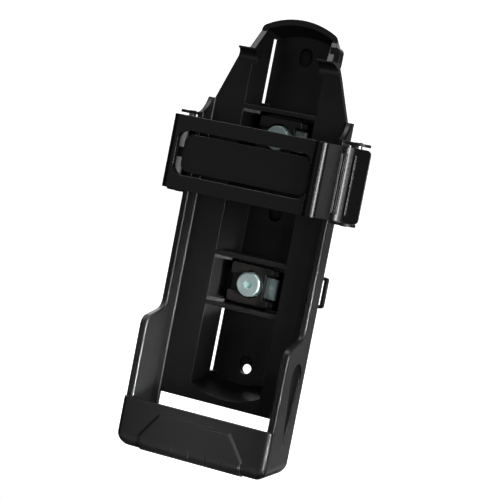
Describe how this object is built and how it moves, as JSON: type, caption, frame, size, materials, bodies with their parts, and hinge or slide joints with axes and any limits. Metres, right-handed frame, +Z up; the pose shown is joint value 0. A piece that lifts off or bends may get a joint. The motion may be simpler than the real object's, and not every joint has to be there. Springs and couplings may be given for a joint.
{
  "type": "bike lock bracket",
  "caption": "Frame holder for a folding bicycle lock: long moulded cradle with an end cup, hooks at the top, a hinged strap with snap latch and clamp screws.",
  "frame": {"origin": "centre of the line of bolt slots, on the back face that rests on the bicycle frame", "axes": "+Z up along the holder, from the cup to the hooks; +Y towards the bicycle frame; +X to the latch side"},
  "size_m": [0.0869, 0.0488, 0.1797],
  "materials": {
    "nylon": "fine moulded grain",
    "pad": "matt",
    "zinc": "bright zinc",
    "pin_steel": "ground"
  },
  "bodies": {
    "cradle": {"cradle_body": "nylon", "strap_hinge_pin": "pin_steel", "catch_pin": "pin_steel", "upper_clamp_block": "nylon", "upper_clamp_screw": "zinc", "upper_clamp_saddle": "zinc", "upper_clamp_yoke": "nylon", "upper_clamp_nut": "zinc", "lower_clamp_block": "nylon", "lower_clamp_screw": "zinc", "lower_clamp_saddle": "zinc", "lower_clamp_yoke": "nylon", "lower_clamp_nut": "zinc"},
    "strap": {"strap_band": "nylon", "strap_pad": "pad"},
    "lever": {"latch_lever": "nylon"}
  },
  "joints": [
    {"name": "strap_hinge", "type": "hinge", "parent": "cradle", "child": "strap", "pos_m": [-0.0362, -0.021, 0.0175], "axis": [0, 0, -1], "range_deg": [0, 110]},
    {"name": "lever_hinge", "type": "hinge", "parent": "strap", "child": "lever", "pos_m": [0.0306, -0.0459, 0.0175], "axis": [0, 0, -1], "range_deg": [0, 92]}
  ]
}
